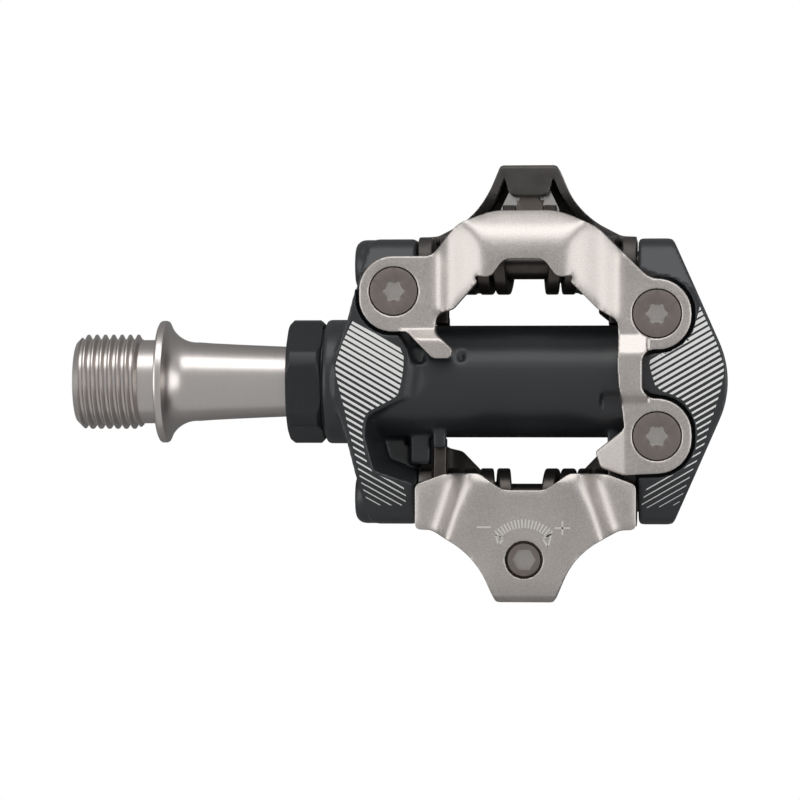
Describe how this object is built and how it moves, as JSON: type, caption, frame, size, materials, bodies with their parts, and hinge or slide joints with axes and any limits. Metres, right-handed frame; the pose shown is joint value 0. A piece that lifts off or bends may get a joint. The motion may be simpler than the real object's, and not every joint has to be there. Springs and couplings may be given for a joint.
{
  "type": "clipless pedal",
  "caption": "Double-sided clipless bicycle pedal with fixed front claws, sprung rear claws and a cup-and-cone spindle; right-hand side.",
  "frame": {"origin": "centre of the spindle's face that seats against the crank arm", "axes": "+X outboard along the spindle; +Y towards the top face's fixed front claw; +Z out of the top face"},
  "size_m": [0.0979, 0.0652, 0.0276],
  "materials": {
    "spindle_steel": "satin turned steel",
    "claw_steel": "blasted, nickel plated",
    "screw_steel": "matt plated",
    "bearing_steel": "ground",
    "dark_steel": "dark, oiled",
    "black_anodised": "black anodised",
    "black_paint": "satin black, etched stripes on the pads",
    "seal_rubber": "matt",
    "bush_plastic": "natural"
  },
  "bodies": {
    "spindle": {"spindle": "spindle_steel", "bearing_cone": "bearing_steel", "lock_nut": "bearing_steel"},
    "balls_inboard": {"ball_row_inboard": "bearing_steel"},
    "balls_outboard": {"ball_row_outboard": "bearing_steel"},
    "body": {"pedal_body": "black_paint", "lock_bolt": "black_anodised", "dust_seal": "seal_rubber", "plain_bush": "bush_plastic", "bearing_sleeve": "bearing_steel", "front_claw_top": "claw_steel", "front_claw_bottom": "claw_steel", "claw_screws_top": "screw_steel", "claw_screws_bottom": "screw_steel", "pivot_pin_rear": "dark_steel", "pivot_pin_front": "dark_steel", "spring_top_left": "dark_steel", "spring_top_right": "dark_steel", "spring_bottom_left": "dark_steel", "spring_bottom_right": "dark_steel"},
    "rear_claw_top": {"rear_claw_top": "claw_steel"},
    "rear_claw_bottom": {"rear_claw_bottom": "claw_steel"},
    "tension_bolt_top": {"tension_bolt_top": "screw_steel"},
    "tension_bolt_bottom": {"tension_bolt_bottom": "screw_steel"},
    "tension_plate_top": {"tension_plate_top": "bearing_steel"},
    "tension_plate_bottom": {"tension_plate_bottom": "bearing_steel"}
  },
  "joints": [
    {"name": "pedal_spin", "type": "hinge", "parent": "spindle", "child": "body", "pos_m": [0.046, 0, 0], "axis": [1, 0, 0], "continuous": true},
    {"name": "ball_orbit_inboard", "type": "hinge", "parent": "spindle", "child": "balls_inboard", "pos_m": [0.046, 0, 0], "axis": [1, 0, 0], "continuous": true},
    {"name": "ball_orbit_outboard", "type": "hinge", "parent": "spindle", "child": "balls_outboard", "pos_m": [0.057, 0, 0], "axis": [1, 0, 0], "continuous": true},
    {"name": "rear_claw_top_open", "type": "hinge", "parent": "body", "child": "rear_claw_top", "pos_m": [0.0555, -0.0174, 0], "axis": [1, 0, 0], "range_deg": [0, 14], "stiffness_Nm_per_rad": 0.6, "springref_deg": -20.05, "deforming": ["spring_top_left", "spring_top_right"]},
    {"name": "rear_claw_bottom_open", "type": "hinge", "parent": "body", "child": "rear_claw_bottom", "pos_m": [0.0555, 0.0174, 0], "axis": [1, 0, 0], "range_deg": [0, 14], "stiffness_Nm_per_rad": 0.6, "springref_deg": -20.05, "deforming": ["spring_bottom_left", "spring_bottom_right"]},
    {"name": "tension_top_turn", "type": "hinge", "parent": "rear_claw_top", "child": "tension_bolt_top", "pos_m": [0.0555, -0.0262, 0.008], "axis": [0, 0, -1], "range_deg": [0, 900]},
    {"name": "tension_bottom_turn", "type": "hinge", "parent": "rear_claw_bottom", "child": "tension_bolt_bottom", "pos_m": [0.0555, 0.0262, -0.008], "axis": [0, 0, 1], "range_deg": [0, 900]},
    {"name": "tension_top_slide", "type": "slide", "parent": "rear_claw_top", "child": "tension_plate_top", "axis": [0, 0, -1], "range_m": [0, 0.00175]},
    {"name": "tension_bottom_slide", "type": "slide", "parent": "rear_claw_bottom", "child": "tension_plate_bottom", "axis": [0, 0, 1], "range_m": [0, 0.00175]}
  ],
  "couplings": [
    {"joint": "ball_orbit_inboard", "follows": "pedal_spin", "ratio": 0.62872},
    {"joint": "ball_orbit_outboard", "follows": "pedal_spin", "ratio": 0.62872},
    {"joint": "tension_top_turn", "follows": "tension_top_slide", "rad_per_m": 8976},
    {"joint": "tension_bottom_turn", "follows": "tension_bottom_slide", "rad_per_m": 8976}
  ]
}
